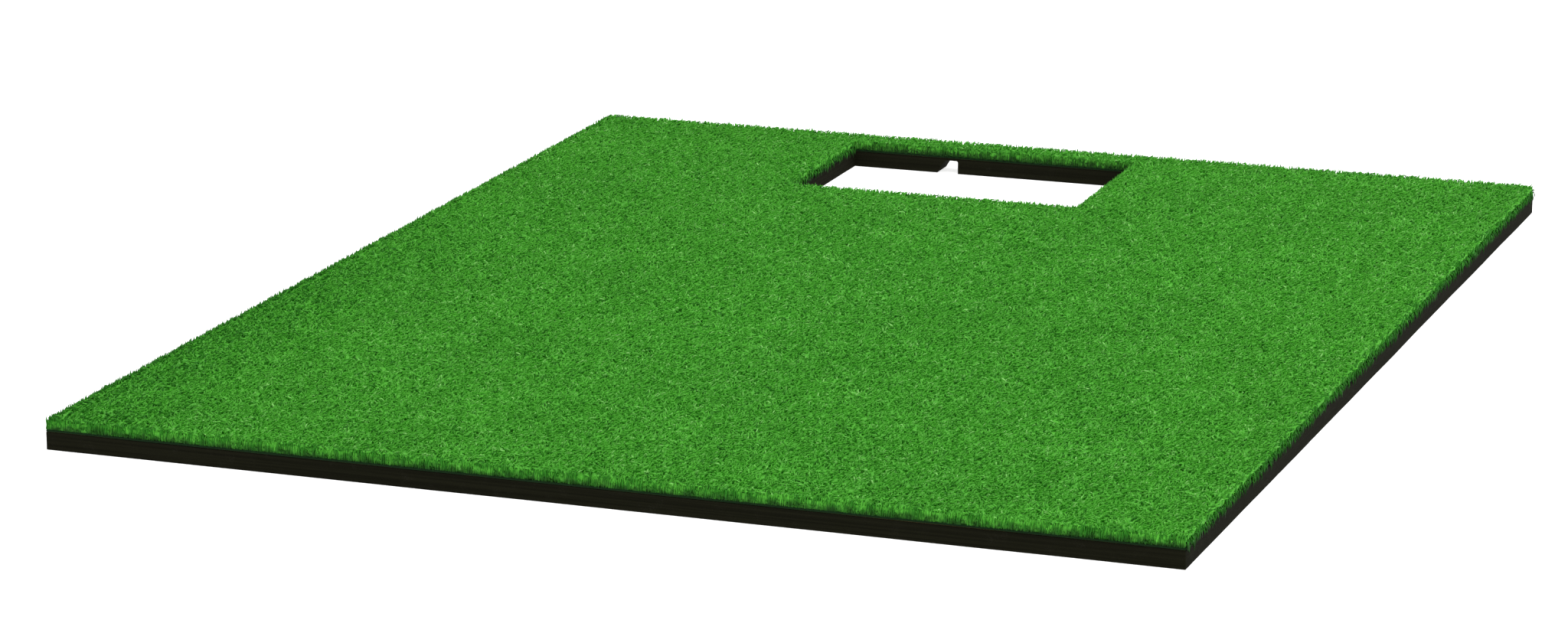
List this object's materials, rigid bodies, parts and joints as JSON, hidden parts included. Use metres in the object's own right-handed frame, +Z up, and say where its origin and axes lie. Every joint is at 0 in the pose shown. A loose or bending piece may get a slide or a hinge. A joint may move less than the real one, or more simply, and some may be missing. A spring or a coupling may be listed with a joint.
{
  "type": "golf hitting mat",
  "caption": "Foam-backed artificial turf hitting mat with a sensor-pad window cut through it and a cable channel under the strip behind the window.",
  "frame": {"origin": "centre of the underside, on the floor", "axes": "+Z up through the turf, +Y along the longer side towards the edge behind the sensor window, +X to the right of a player who faces that edge"},
  "size_m": [1.2192, 1.524, 0.0345],
  "materials": {
    "foam": "black closed-cell foam, matte, knife-cut edges",
    "adhesive": "dried contact adhesive, amber, dull",
    "coating": "dark cured turf coating, matte",
    "backing_cloth": "woven slit-tape cloth, dark green-black",
    "turf_yarn": "short curled green yarn pile, dense, soft sheen"
  },
  "bodies": {
    "root": {"foam_base": "foam", "bond_film": "adhesive", "turf_coating": "coating", "turf_cloth": "backing_cloth", "turf_pile": "turf_yarn"}
  },
  "joints": []
}
